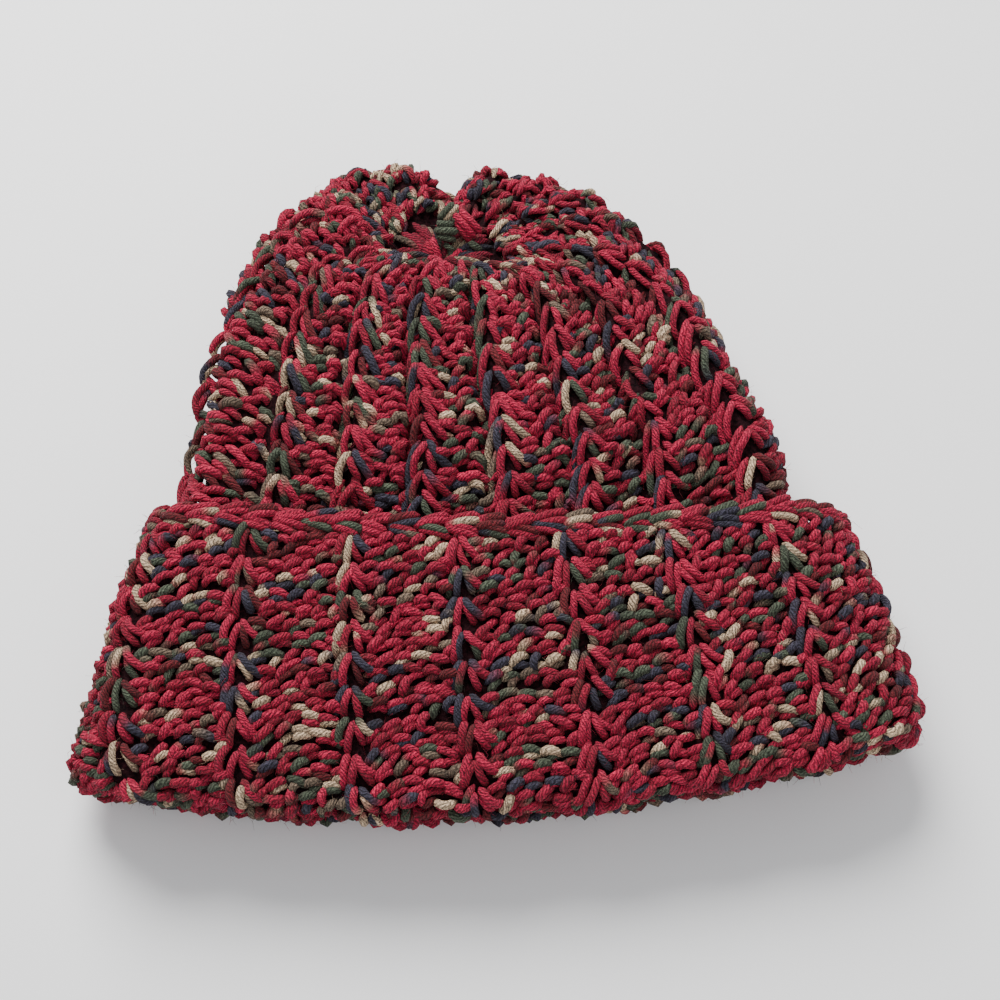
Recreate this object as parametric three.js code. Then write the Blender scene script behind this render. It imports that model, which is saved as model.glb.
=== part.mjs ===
// A winter hat: a ribbed beanie of thick yarn with a turned-up cuff, lying on its back on a flat surface.
// Millimetres. X runs across the hat, Y from the brim to the gathered top, Z up from the surface.

import * as THREE from 'three';

// Driving dimensions.
const RIBS = 16;              // ribs round the hat, eight of them on the upper side
const FACETS_PER_RIB = 4;
const SHEET = 6.2;            // thickness of the worked fabric
const PIECE_GAP = 0.3;        // clearance between pieces that touch
const ROUND = RIBS * FACETS_PER_RIB;
const OUTLINE_STEPS = 240;    // steps along a section's outline when its length is measured
const SLOPE_TURN = 0.004;     // half the step round the hat that the fabric's slope is read over
const SLOPE_AT = 0.05;        // and along the fabric, in sections
const INNER_FLOOR = SHEET * 0.75;   // least height of the crown's inner face, over the flattened underside
const FURROW_PLACE = 0.8;     // where the furrow beside a broad rib lies, as a share of the rib's width
const FURROW_REACH = 0.17;    // half the furrow's width, as a share of the rib's
const FURROW_DEPTH = 1.6;     // its depth, and the rib's slope below, as shares of the rib's height
const BACK_SLOPE = 0.3;

// Sections of the two bands of fabric, each a flattened ring round the hat, in order along the fabric.
//   y, z      centre of the ring
//   tilt      degrees that the ring leans back from upright, so that 90 lies flat and faces up
//   left      reach of the ring to the left of x = 0, and right to the right of it
//   front     reach of the ring on the upper side, and back on the lower side
//   end       radius of its rounded left and right ends
//   ribs      height of the ribs above the middle of the sheet
//   broad     0 where the ribs are even waves, 1 where each has a broad back and a narrow furrow beside it
//   bow       how far the middle of the ring comes nearer the brim than its ends
//   skew      how far the right end lies nearer the top than the left end
//   turn      how far the ribs are turned round the hat, in ribs
//   crowd     share by which the ribs of the upper side lie closer together than even ones
//   uneven    share of the ribs' own shifts that shows here
const SECTION_COLUMNS = [
  'y', 'z', 'tilt', 'left', 'right', 'front', 'back', 'end',
  'ribs', 'broad', 'bow', 'skew', 'turn', 'crowd', 'uneven',
];

// The crown starts inside the fold, runs up to the gathered rim and dips to the drawn centre.
const crownSections = table(SECTION_COLUMNS, [
  [-74, 19.9, 15, 114.3, 111.8, 7.8, 7.6, 7.7, 1.0, 0, 14, 7, 0.40, 0, 0],
  [-48, 22.5, 8, 106, 103, 9.7, 9.4, 9.4, 1.6, 0, 12, 4, 0.40, 0.01, 0.3],
  [-16, 25.5, 0, 97, 91, 11.5, 11.3, 11, 2.3, 0, 8, 1, 0.42, 0.03, 0.8],
  [-5, 25.6, 0, 96.5, 88.5, 12.6, 12.6, 12, 2.6, 0.3, 7, 0, 0.44, 0.04, 1],
  [15, 24.8, 2, 93, 83.5, 19.0, 17.9, 15, 4.2, 1, 5, 0, 0.46, 0.07, 1],
  [38, 25.2, 9, 91, 73.5, 21.0, 18.6, 16, 4.2, 1, 3, 0, 0.50, 0.11, 1],
  [57, 27.2, 25, 86.5, 66, 22.5, 20.5, 17, 4.2, 1, 0, -1, 0.52, 0.12, 1],
  [75, 30.5, 46, 77, 56.5, 25.0, 24.5, 19, 4.2, 1, 0, -3, 0.52, 0.11, 1],
  [86, 35.5, 64, 67.5, 45.5, 27.0, 27.5, 20, 4.0, 1, 0, -5, 0.50, 0.07, 0.9],
  [89, 41.0, 74, 52.5, 32, 24.5, 26.0, 17, 3.4, 1, 0, -5, 0.48, 0.03, 0.7],
  [85, 39.0, 74, 40, 7, 14.0, 14.0, 11, 1.8, 0.6, 0, -2, 0.46, 0, 0.3],
  [79, 32.5, 72, 28, -11, 6.5, 7.0, 6.5, 0, 0, 0, 0, 0.44, 0, 0],
]);

// The cuff starts at its free edge, runs down to the fold and turns in under the end of the crown.
const cuffSections = table(SECTION_COLUMNS, [
  [-16, 25.5, 0, 107, 104, 21.9, 22.5, 20, 0.8, 0, 8, 1, 0.14, -0.06, 0],
  [-37, 23.8, 3, 115, 112, 20.5, 20.9, 19, 1.4, 0, 10, 3, 0.22, -0.06, 0],
  [-59, 21.8, 8, 120, 117, 18.6, 19.1, 18, 1.4, 0, 12, 5, 0.28, -0.05, 0],
  [-74, 20.2, 13, 123.5, 121, 17.2, 17.6, 17, 1.0, 0, 14.5, 7, 0.32, -0.03, 0],
  [-81, 20.0, 15, 123.5, 121, 15.6, 15.8, 15.4, 0.8, 0, 15, 7, 0.34, -0.02, 0],
  [-84, 19.9, 15, 119, 116, 12.0, 12.0, 12, 0.8, 0, 15, 7, 0.37, -0.01, 0],
  [-80.5, 19.9, 15, 115.8, 113.4, 7.9, 7.7, 7.8, 0.9, 0, 14.5, 7, 0.39, 0, 0],
  [-75.0, 19.9, 15, 114.3, 111.8, 7.8, 7.6, 7.7, 1.0, 0, 14, 7, 0.40, 0, 0],
]);

// How far each rib has shifted from its even place, in ribs, from the left end over the upper side.
const ribShifts = [
  0, -0.14, -0.2, -0.28, -0.18, -0.12, -0.18, -0.06,
  0.06, 0, -0.05, 0, 0.08, 0.02, -0.04, 0,
];

const CROWN_STATIONS = 21;
const CUFF_STATIONS = 11;
const EDGING_SIDES = 6;
const EDGING_REACH = 4.0;     // half the edging's width along the fabric
const EDGING_RISE = 3.4;      // half its thickness through the fabric
const KNOT_RADIUS = 4.2;
const KNOT_HEIGHT = 5.5;
const KNOT_SIDES = 16;
const KNOT_RINGS = 4;

// Deep folds of the gathered rim: place and half width in turns round the hat, depth, and the sections
// that each reaches from and to.
const rimFolds = table(['place', 'width', 'depth', 'from', 'to'], [
  [0.784, 0.045, 11, 6.6, 10.8],
  [0.10, 0.03, 4, 7.4, 10.4],
]);

const materials = {
  crown: new THREE.MeshStandardMaterial({ color: 0x8c1a2e, roughness: 0.92, metalness: 0 }),
  cuff: new THREE.MeshStandardMaterial({ color: 0x96203a, roughness: 0.92, metalness: 0 }),
  edging: new THREE.MeshStandardMaterial({ color: 0x7d1f30, roughness: 0.92, metalness: 0 }),
  knot: new THREE.MeshStandardMaterial({ color: 0x46543c, roughness: 0.9, metalness: 0 }),
};

// Rows of numbers as objects with a named value for each column.
function table(columns, rows) {
  return rows.map((row) => Object.fromEntries(columns.map((name, i) => [name, row[i]])));
}

// A smooth value between the rows of a table, at a place counted in rows.
function smoothBetween(rows, name, at) {
  const last = rows.length - 1;
  const i = Math.min(Math.floor(at), last - 1);
  const t = at - i;
  const value = (k) => rows[Math.min(Math.max(k, 0), last)][name];
  const [a, b, c, d] = [value(i - 1), value(i), value(i + 1), value(i + 2)];
  const slopes = (c - a) * t + (2 * a - 5 * b + 4 * c - d) * t * t + (3 * b - a - 3 * c + d) * t * t * t;
  return b + slopes / 2;
}

function sectionAt(rows, at) {
  return Object.fromEntries(SECTION_COLUMNS.map((name) => [name, smoothBetween(rows, name, at)]));
}

// A bump that is 1 at 0 and falls smoothly to 0 at -1 and 1.
function bump(x) {
  return Math.abs(x) < 1 ? Math.cos((x * Math.PI) / 2) ** 2 : 0;
}

// The middle of the sheet on one section: a quarter of the way is the middle of the upper side.
function outlinePoint(section, turn) {
  const half = (section.left + section.right) / 2;
  const flat = half - section.end;
  const upper = turn < 0.5;
  const part = (upper ? turn : 1 - turn) * 2;
  const bend = Math.PI * Math.min(Math.max(part * 2 - 0.5, 0), 1);
  const corner = part < 0.25 ? part * 2 * Math.PI : part > 0.75 ? (1 - part) * 2 * Math.PI : Math.PI / 2;
  const x = -Math.cos(bend) * flat + Math.sign(part - 0.5) * section.end * Math.cos(corner);
  const reach = upper ? section.front : section.back;
  const rise = section.end * Math.sin(corner) + (reach - section.end) * (1 - (x / half) ** 2);
  const height = upper ? rise : -rise;
  const across = x / half;
  const lean = THREE.MathUtils.degToRad(section.tilt);
  const along = section.skew * across - section.bow * (1 - across * across);
  return new THREE.Vector3(
    x + (section.right - section.left) / 2,
    section.y + along - height * Math.sin(lean),
    section.z + height * Math.cos(lean),
  );
}

// A function of the turn round the hat, from 0 to 1 at even steps of length, that gives the sheet's middle.
function evenOutline(section) {
  const points = [];
  const lengths = [0];
  for (let i = 0; i <= OUTLINE_STEPS; i++) {
    points.push(outlinePoint(section, i / OUTLINE_STEPS));
    if (i > 0) lengths.push(lengths[i - 1] + points[i].distanceTo(points[i - 1]));
  }
  const total = lengths[OUTLINE_STEPS];
  return (turn) => {
    const wanted = (turn - Math.floor(turn)) * total;
    let i = 1;
    while (i < OUTLINE_STEPS && lengths[i] < wanted) i++;
    const part = (wanted - lengths[i - 1]) / (lengths[i] - lengths[i - 1]);
    return points[i - 1].clone().lerp(points[i], part);
  };
}

// The sheet's middle, without ribs, at a place along the fabric and a turn round the hat.
function sheetMiddle(rows) {
  const outlines = new Map();
  return (at, turn) => {
    const place = Math.min(Math.max(at, 0), rows.length - 1);
    if (!outlines.has(place)) outlines.set(place, evenOutline(sectionAt(rows, place)));
    return outlines.get(place)(turn);
  };
}

// The turn round the hat at which a place counted in ribs lies on a section.
function turnOf(section, rib) {
  const whole = Math.floor(rib);
  const shift = (k) => ribShifts[((k % RIBS) + RIBS) % RIBS];
  const drift = THREE.MathUtils.lerp(shift(whole), shift(whole + 1), rib - whole);
  const even = (rib + drift * section.uneven + section.turn) / RIBS;
  return even + (section.crowd / (2 * Math.PI)) * Math.cos(2 * Math.PI * even);
}

// How high the fabric stands at a place counted in ribs: even waves, or broad backs with furrows.
function ribRelief(rib, broad) {
  const wave = Math.cos(2 * Math.PI * rib);
  const gap = (rib - Math.floor(rib) - FURROW_PLACE) / FURROW_REACH;
  const back = 1 - BACK_SLOPE + BACK_SLOPE * wave - FURROW_DEPTH * bump(gap);
  return THREE.MathUtils.lerp(wave, back, broad);
}

// A point of the finished fabric: the ribs wave the sheet out and in, and depth goes through it.
function fabric(rows, folds = []) {
  const middle = sheetMiddle(rows);
  const last = rows.length - 1;
  return (at, rib, depth) => {
    const section = sectionAt(rows, at);
    const turn = turnOf(section, rib);
    const point = middle(at, turn);
    const round = middle(at, turn + SLOPE_TURN).sub(middle(at, turn - SLOPE_TURN));
    const along = middle(Math.min(at + SLOPE_AT, last), turn);
    along.sub(middle(Math.max(at - SLOPE_AT, 0), turn));
    const out = round.cross(along).normalize();
    let height = section.ribs * ribRelief(rib, section.broad) + depth;
    for (const fold of folds) {
      const gap = turn - fold.place - Math.round(turn - fold.place);
      const reach = (2 * at - fold.from - fold.to) / (fold.to - fold.from);
      height -= fold.depth * bump(gap / fold.width) * bump(reach);
    }
    return point.addScaledVector(out, height);
  };
}

// The underside rests on the surface: its outer face is flattened there, its inner face stays above it.
function rested(point, floor) {
  point.z = Math.max(point.z, floor);
  return point;
}

// A closed mesh from rings of points, each joined to the next, and the last to the first if looped.
function joinRings(rings, looped, capPoints = []) {
  const count = rings[0].length;
  const points = rings.flat().concat(capPoints);
  const indices = [];
  const bands = looped ? rings.length : rings.length - 1;
  for (let r = 0; r < bands; r++) {
    const here = r * count;
    const next = ((r + 1) % rings.length) * count;
    for (let i = 0; i < count; i++) {
      const j = (i + 1) % count;
      indices.push(here + i, here + j, next + j, here + i, next + j, next + i);
    }
  }
  if (capPoints.length === 2) {
    const [first, final] = [rings.length * count, rings.length * count + 1];
    const end = (rings.length - 1) * count;
    for (let i = 0; i < count; i++) {
      const j = (i + 1) % count;
      indices.push(first, j, i, final, end + i, end + j);
    }
  }
  const geometry = new THREE.BufferGeometry();
  const positions = points.flatMap((p) => p.toArray());
  geometry.setAttribute('position', new THREE.Float32BufferAttribute(positions, 3));
  geometry.setIndex(indices);
  geometry.computeVertexNormals();
  return geometry;
}

// The points round the hat at one place along the fabric and one depth through it.
function ringOf(surface, at, depth, floor) {
  const ring = [];
  for (let i = 0; i < ROUND; i++) {
    ring.push(rested(surface(at, i / FACETS_PER_RIB, depth), floor));
  }
  return ring;
}

function centreOf(ring) {
  return ring.reduce((sum, p) => sum.add(p), new THREE.Vector3()).divideScalar(ring.length);
}

// The crown: a cup of fabric, open at the brim and drawn shut at the top.
const crownSurface = fabric(crownSections, rimFolds);
const crownEnd = crownSections.length - 1;

function crownGeometry() {
  const outer = [];
  const inner = [];
  for (let s = 0; s < CROWN_STATIONS; s++) {
    const at = (crownEnd * s) / (CROWN_STATIONS - 1);
    outer.push(ringOf(crownSurface, at, SHEET / 2, 0));
    inner.push(ringOf(crownSurface, at, -SHEET / 2, INNER_FLOOR));
  }
  const rings = [...inner.reverse(), ...outer];
  return joinRings(rings, false, [centreOf(rings[0]), centreOf(rings[rings.length - 1])]);
}

// The cuff: a band of the fabric's other face, closed round its thickness.
const cuffSurface = fabric(cuffSections);
const cuffEnd = cuffSections.length - 1;

function cuffGeometry() {
  const outer = [];
  const inner = [];
  for (let s = 0; s < CUFF_STATIONS; s++) {
    const at = (cuffEnd * s) / (CUFF_STATIONS - 1);
    outer.push(ringOf(cuffSurface, at, -SHEET / 2, 0));
    inner.push(ringOf(cuffSurface, at, SHEET / 2, 0));
  }
  return joinRings([...inner, ...outer.reverse()], true);
}

// The edging: a flattened cord of plaited yarn along the cuff's free edge.
function edgingGeometry() {
  const rings = [];
  for (let k = 0; k < EDGING_SIDES; k++) {
    const angle = (2 * Math.PI * (k + 0.5)) / EDGING_SIDES;
    const ring = [];
    for (let i = 0; i < ROUND; i++) {
      const rib = i / FACETS_PER_RIB;
      const edge = cuffSurface(0, rib, 0);
      const through = cuffSurface(0, rib, 1).sub(edge);
      const away = edge.clone().sub(cuffSurface(SLOPE_AT, rib, 0)).normalize();
      const reach = EDGING_REACH * Math.cos(Math.PI / EDGING_SIDES) + PIECE_GAP;
      edge.addScaledVector(away, reach + EDGING_REACH * Math.cos(angle));
      ring.push(rested(edge.addScaledVector(through, EDGING_RISE * Math.sin(angle)), 0));
    }
    rings.push(ring);
  }
  return joinRings(rings, true);
}

// The knot that closes the gather: a low button seated in the dimple, facing the way that the top faces.
function knotGeometry() {
  const profile = [new THREE.Vector2(0, 0)];
  for (let k = 0; k < KNOT_RINGS; k++) {
    const angle = (Math.PI / 2) * (k / KNOT_RINGS);
    profile.push(new THREE.Vector2(KNOT_RADIUS * Math.cos(angle), KNOT_HEIGHT * Math.sin(angle)));
  }
  profile.push(new THREE.Vector2(0, KNOT_HEIGHT));
  return new THREE.LatheGeometry(profile, KNOT_SIDES);
}

function seatKnot(knot) {
  const rim = ringOf(crownSurface, crownEnd, SHEET / 2, 0);
  const lean = THREE.MathUtils.degToRad(crownSections[crownEnd].tilt);
  const up = new THREE.Vector3(0, Math.cos(lean), Math.sin(lean));
  const middle = centreOf(rim);
  const top = Math.max(...rim.map((p) => p.dot(up)));
  knot.position.copy(middle).addScaledVector(up, top - middle.dot(up) + PIECE_GAP);
  knot.quaternion.setFromUnitVectors(new THREE.Vector3(0, 1, 0), up);
}

function piece(name, geometry, material) {
  const mesh = new THREE.Mesh(geometry, material);
  mesh.name = name;
  return mesh;
}

const hat = new THREE.Group();
hat.add(piece('crown', crownGeometry(), materials.crown));
hat.add(piece('cuff', cuffGeometry(), materials.cuff));
hat.add(piece('cuff_edging', edgingGeometry(), materials.edging));
const knot = piece('gather_knot', knotGeometry(), materials.knot);
seatKnot(knot);
hat.add(knot);

// The origin is the middle of the hat's footprint, on the surface that it rests on.
const box = new THREE.Box3().setFromObject(hat, true);
const footprint = box.getCenter(new THREE.Vector3());
hat.position.set(-footprint.x, -footprint.y, -box.min.z);

export default hat;
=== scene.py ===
"""A ribbed winter hat of thick variegated yarn with a turned-up cuff, lying on its back on a pale surface.

The hat's own frame is used throughout: X across the hat, Y from the brim to the gathered top, Z up.
The fabric is worked out in millimetres and becomes metres where a mesh is made.
"""
import math

import bpy
import numpy as np
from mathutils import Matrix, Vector


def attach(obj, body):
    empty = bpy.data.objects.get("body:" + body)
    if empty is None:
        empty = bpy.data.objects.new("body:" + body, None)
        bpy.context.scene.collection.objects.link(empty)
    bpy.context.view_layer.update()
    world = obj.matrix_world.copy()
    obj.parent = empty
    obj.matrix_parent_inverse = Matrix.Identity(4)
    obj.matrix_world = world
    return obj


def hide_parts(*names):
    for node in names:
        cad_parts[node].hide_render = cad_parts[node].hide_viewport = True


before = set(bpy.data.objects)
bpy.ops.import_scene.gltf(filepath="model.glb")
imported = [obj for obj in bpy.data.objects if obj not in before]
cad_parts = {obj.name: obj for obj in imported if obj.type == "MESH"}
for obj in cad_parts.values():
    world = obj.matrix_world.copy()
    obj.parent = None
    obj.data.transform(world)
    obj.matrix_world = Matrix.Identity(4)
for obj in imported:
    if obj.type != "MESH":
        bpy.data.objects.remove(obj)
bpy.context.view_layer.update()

MM = 0.001
RIBS = 16                 # ribs round the hat
SHEET = 6.2               # thickness of the worked fabric
YARN = 1.3                # radius of one strand
OUTLINE_STEPS = 240
STATIONS = 161            # places along the fabric where its outline is worked out
PER_RIB = 24              # grid steps across one rib
PER_STITCH = 8            # grid steps along one stitch
HAT_SHIFT = np.array([1.15096, -7.43737, 0.0])   # from the sections' origin to the middle of the footprint


def table(columns, rows):
    """A named column of numbers for each name."""
    return {name: np.array(values, float) for name, values in zip(columns, zip(*rows))}


# Sections of the fabric, as in the part: the middle of each ring, its lean, its reach to each side, the
# height of its ribs and how they are turned and crowded round the hat.
SECTION_COLUMNS = (
    "y", "z", "tilt", "left", "right", "front", "back", "end",
    "ribs", "broad", "bow", "skew", "turn", "crowd", "uneven",
)
crown_sections = table(SECTION_COLUMNS, [
    (-74, 19.9, 15, 114.3, 111.8, 7.8, 7.6, 7.7, 1.0, 0, 14, 7, 0.40, 0, 0),
    (-48, 22.5, 8, 106, 103, 9.7, 9.4, 9.4, 1.6, 0, 12, 4, 0.40, 0.01, 0.3),
    (-16, 25.5, 0, 97, 91, 11.5, 11.3, 11, 2.3, 0, 8, 1, 0.42, 0.03, 0.8),
    (-5, 25.6, 0, 96.5, 88.5, 12.6, 12.6, 12, 2.6, 0.3, 7, 0, 0.44, 0.04, 1),
    (15, 24.8, 2, 93, 83.5, 19.0, 17.9, 15, 4.2, 1, 5, 0, 0.46, 0.07, 1),
    (38, 25.2, 9, 91, 73.5, 21.0, 18.6, 16, 4.2, 1, 3, 0, 0.50, 0.11, 1),
    (57, 27.2, 25, 86.5, 66, 22.5, 20.5, 17, 4.2, 1, 0, -1, 0.52, 0.12, 1),
    (75, 30.5, 46, 77, 56.5, 25.0, 24.5, 19, 4.2, 1, 0, -3, 0.52, 0.11, 1),
    (86, 35.5, 64, 67.5, 45.5, 27.0, 27.5, 20, 4.0, 1, 0, -5, 0.50, 0.07, 0.9),
    (89, 41.0, 74, 52.5, 32, 24.5, 26.0, 17, 3.4, 1, 0, -5, 0.48, 0.03, 0.7),
    (85, 39.0, 74, 40, 7, 14.0, 14.0, 11, 1.8, 0.6, 0, -2, 0.46, 0, 0.3),
    (79, 32.5, 72, 28, -11, 6.5, 7.0, 6.5, 0, 0, 0, 0, 0.44, 0, 0),
])
cuff_sections = table(SECTION_COLUMNS, [
    (-16, 25.5, 0, 107, 104, 21.9, 22.5, 20, 0.8, 0, 8, 1, 0.14, -0.06, 0),
    (-37, 23.8, 3, 115, 112, 20.5, 20.9, 19, 1.4, 0, 10, 3, 0.22, -0.06, 0),
    (-59, 21.8, 8, 120, 117, 18.6, 19.1, 18, 1.4, 0, 12, 5, 0.28, -0.05, 0),
    (-74, 20.2, 13, 123.5, 121, 17.2, 17.6, 17, 1.0, 0, 14.5, 7, 0.32, -0.03, 0),
    (-81, 20.0, 15, 123.5, 121, 15.6, 15.8, 15.4, 0.8, 0, 15, 7, 0.34, -0.02, 0),
    (-84, 19.9, 15, 119, 116, 12.0, 12.0, 12, 0.8, 0, 15, 7, 0.37, -0.01, 0),
    (-80.5, 19.9, 15, 115.8, 113.4, 7.9, 7.7, 7.8, 0.9, 0, 14.5, 7, 0.39, 0, 0),
    (-75.0, 19.9, 15, 114.3, 111.8, 7.8, 7.6, 7.7, 1.0, 0, 14, 7, 0.40, 0, 0),
])
rib_shifts = np.array([
    0, -0.14, -0.2, -0.28, -0.18, -0.12, -0.18, -0.06,
    0.06, 0, -0.05, 0, 0.08, 0.02, -0.04, 0,
])
rim_folds = table(("place", "width", "depth", "start", "stop"), [
    (0.784, 0.045, 11, 6.6, 10.8),
    (0.10, 0.03, 4, 7.4, 10.4),
])


def smooth_between(values, at):
    """A smooth value between the rows of a column, at a place counted in rows."""
    last = len(values) - 1
    i = min(int(at), last - 1)
    t = at - i
    a, b, c, d = (values[min(max(k, 0), last)] for k in range(i - 1, i + 3))
    return b + ((c - a) * t + (2 * a - 5 * b + 4 * c - d) * t**2 + (3 * b - a - 3 * c + d) * t**3) / 2


def bump(x):
    return np.where(np.abs(x) < 1, np.cos(x * np.pi / 2) ** 2, 0)


def outline(section):
    """The middle of the sheet round one section, from the left end over the upper side and back."""
    turn = np.linspace(0, 1, OUTLINE_STEPS + 1)
    half = (section["left"] + section["right"]) / 2
    flat = half - section["end"]
    upper = turn < 0.5
    part = np.where(upper, turn, 1 - turn) * 2
    bend = np.pi * np.clip(part * 2 - 0.5, 0, 1)
    past_middle = np.where(part > 0.75, (1 - part) * 2 * np.pi, np.pi / 2)
    corner = np.where(part < 0.25, part * 2 * np.pi, past_middle)
    x = -np.cos(bend) * flat + np.sign(part - 0.5) * section["end"] * np.cos(corner)
    reach = np.where(upper, section["front"], section["back"])
    rise = section["end"] * np.sin(corner) + (reach - section["end"]) * (1 - (x / half) ** 2)
    height = np.where(upper, rise, -rise)
    across = x / half
    lean = math.radians(section["tilt"])
    along = section["skew"] * across - section["bow"] * (1 - across**2)
    points = (x + (section["right"] - section["left"]) / 2,
              section["y"] + along - height * math.sin(lean),
              section["z"] + height * math.cos(lean))
    return np.stack(points, 1)


def turn_of(section, rib):
    """The turn round the hat at which a place counted in ribs lies on a section."""
    whole = np.floor(rib).astype(int)
    part = rib - whole
    drift = rib_shifts[whole % RIBS] * (1 - part) + rib_shifts[(whole + 1) % RIBS] * part
    even = (rib + drift * section["uneven"] + section["turn"]) / RIBS
    return even + section["crowd"] / (2 * np.pi) * np.cos(2 * np.pi * even)


FURROW_PLACE = 0.8        # where the furrow beside a broad rib lies, as a share of the rib's width
FURROW_REACH = 0.17
FURROW_DEPTH = 1.6
BACK_SLOPE = 0.3


def rib_relief(rib, broad):
    """How high the fabric stands at a place in ribs: even waves, or broad backs with furrows."""
    wave = np.cos(2 * np.pi * rib)
    back = 1 - BACK_SLOPE + BACK_SLOPE * wave - FURROW_DEPTH * bump((rib % 1 - FURROW_PLACE) / FURROW_REACH)
    return wave * (1 - broad) + back * broad


def unit(vectors):
    return vectors / np.maximum(np.linalg.norm(vectors, axis=-1, keepdims=True), 1e-9)


def round_slope(grid):
    """The change from one grid line to the next round the hat, where the last line meets the first."""
    return (np.roll(grid, -1, 1) - np.roll(grid, 1, 1)) / 2


class Face:
    """One face of a band of fabric, as a grid of points with a step for each part of a rib and a stitch.

    depth goes through the sheet from its middle, and outward is 1 where the face looks the way that the
    crown's outside does and -1 where it looks the other way. up is 1 where stitches point to the end of
    the band and -1 where they point to its start. No point lies lower than floor.
    """

    def __init__(self, sections, depth, outward, up, pitch, floor, folds=None):
        last = len(sections["y"]) - 1
        rib = np.arange(RIBS * PER_RIB) / PER_RIB
        middle, heights = [], []
        for at in np.linspace(0, last, STATIONS):
            section = {name: smooth_between(values, at) for name, values in sections.items()}
            points = outline(section)
            run = np.concatenate([[0], np.cumsum(np.linalg.norm(np.diff(points, axis=0), axis=1))])
            turn = turn_of(section, rib)
            wanted = (turn % 1) * run[-1]
            middle.append(np.stack([np.interp(wanted, run, points[:, k]) for k in range(3)], 1))
            height = section["ribs"] * rib_relief(rib, section["broad"])
            if folds:
                gap = turn[:, None] - folds["place"]
                gap = (gap - np.round(gap)) / folds["width"]
                reach = (2 * at - folds["start"] - folds["stop"]) / (folds["stop"] - folds["start"])
                height = height - (folds["depth"] * bump(gap) * bump(reach)).sum(1)
            heights.append(height)
        middle = np.array(middle) + HAT_SHIFT
        out = unit(np.cross(round_slope(middle), np.gradient(middle, axis=0)))
        surface = middle + out * (np.array(heights) + depth)[..., None]
        surface[..., 2] = np.maximum(surface[..., 2], floor)
        steps = np.linalg.norm(np.diff(surface, axis=0), axis=2)
        run = np.concatenate([np.zeros((1, steps.shape[1])), np.cumsum(steps, axis=0)])
        self.up = up
        self.stitches = round(run[-1].mean() / pitch)
        self.length = run[-1]
        shares = np.linspace(0, 1, self.stitches * PER_STITCH + 1)
        self.points = self.even(surface, run, shares)
        smooth = self.even(middle, run, shares)
        normal = np.cross(round_slope(self.points), np.gradient(self.points, axis=0))
        self.normals = unit(normal) * outward
        self.widths = np.linalg.norm(round_slope(smooth), axis=2) * PER_RIB
        self.out = unit(np.cross(round_slope(smooth), np.gradient(smooth, axis=0))) * outward

    def even(self, grid, run, shares):
        """The grid at even steps of the fabric's length."""
        columns = [
            np.stack([np.interp(shares * run[-1, j], run[:, j], grid[:, j, k]) for k in range(3)], 1)
            for j in range(grid.shape[1])
        ]
        return np.stack(columns, 1)

    def read(self, grid, rib, stitch):
        """The grid's value between its lines."""
        across = (rib % RIBS) * PER_RIB
        along = np.clip(stitch * PER_STITCH, 0, len(grid) - 1.001)
        i, j = along.astype(int), across.astype(int) % grid.shape[1]
        s, t = along - i, across - np.floor(across)
        if grid.ndim == 3:
            s, t = s[..., None], t[..., None]
        k = (j + 1) % grid.shape[1]
        before = grid[i, j] * (1 - t) + grid[i, k] * t
        after = grid[i + 1, j] * (1 - t) + grid[i + 1, k] * t
        return before * (1 - s) + after * s

    def place(self, rib, stitch, u, v, h):
        """Points at u to the right, v up and h out, in millimetres, from a rib and a stitch of the face."""
        width = self.read(self.widths, rib, stitch)
        pitch = np.interp(rib % RIBS, np.arange(len(self.length)) / PER_RIB, self.length) / self.stitches
        across = rib + u / width
        along = stitch + self.up * v / pitch
        return self.read(self.points, across, along) + self.read(self.normals, across, along) * h[..., None]


# Yarn: one colour after another along its length. share is how often a colour comes.
dyes = table(("red", "green", "blue", "share"), [
    (0.38, 0.013, 0.046, 0.39),
    (0.27, 0.009, 0.030, 0.21),
    (0.12, 0.012, 0.016, 0.08),
    (0.52, 0.38, 0.25, 0.09),
    (0.16, 0.115, 0.080, 0.04),
    (0.064, 0.080, 0.052, 0.11),
    (0.036, 0.034, 0.052, 0.11),
])
SHORTEST_DYE = 6          # least and greatest length of one colour
LONGEST_DYE = 24
DYE_BLEND = 2.5           # length over which one colour runs into the next
PALEST_DYE = 1.12         # how much a colour's depth varies
DEEPEST_DYE = 0.82
YARN_LENGTH = 60000


class Yarn:
    """The colour along one ball of variegated yarn."""

    def __init__(self, seed):
        rng = np.random.default_rng(seed)
        count = int(YARN_LENGTH / SHORTEST_DYE)
        self.ends = np.cumsum(rng.uniform(SHORTEST_DYE, LONGEST_DYE, count))
        order = rng.choice(len(dyes["share"]), count, p=dyes["share"] / dyes["share"].sum())
        colours = np.stack([dyes["red"], dyes["green"], dyes["blue"]], 1)
        self.colours = colours[order] * rng.uniform(DEEPEST_DYE, PALEST_DYE, (count, 1))

    def colour(self, run):
        """The colour at a run of millimetres, blended over a short length where it changes."""
        run = run % self.ends[-2]
        i = np.searchsorted(self.ends, run)
        to_end = (self.ends[i] - run) / DYE_BLEND
        blend = np.clip(1 - to_end, 0, 1)[..., None] * 0.5
        following = self.colours[np.minimum(i + 1, len(self.colours) - 1)]
        return self.colours[i] * (1 - blend) + following * blend


yarns = (Yarn(3), Yarn(11))
STITCH_YARN = 130         # yarn in one stitch
FIBRE = 0.06              # radius of a stray fibre

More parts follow.
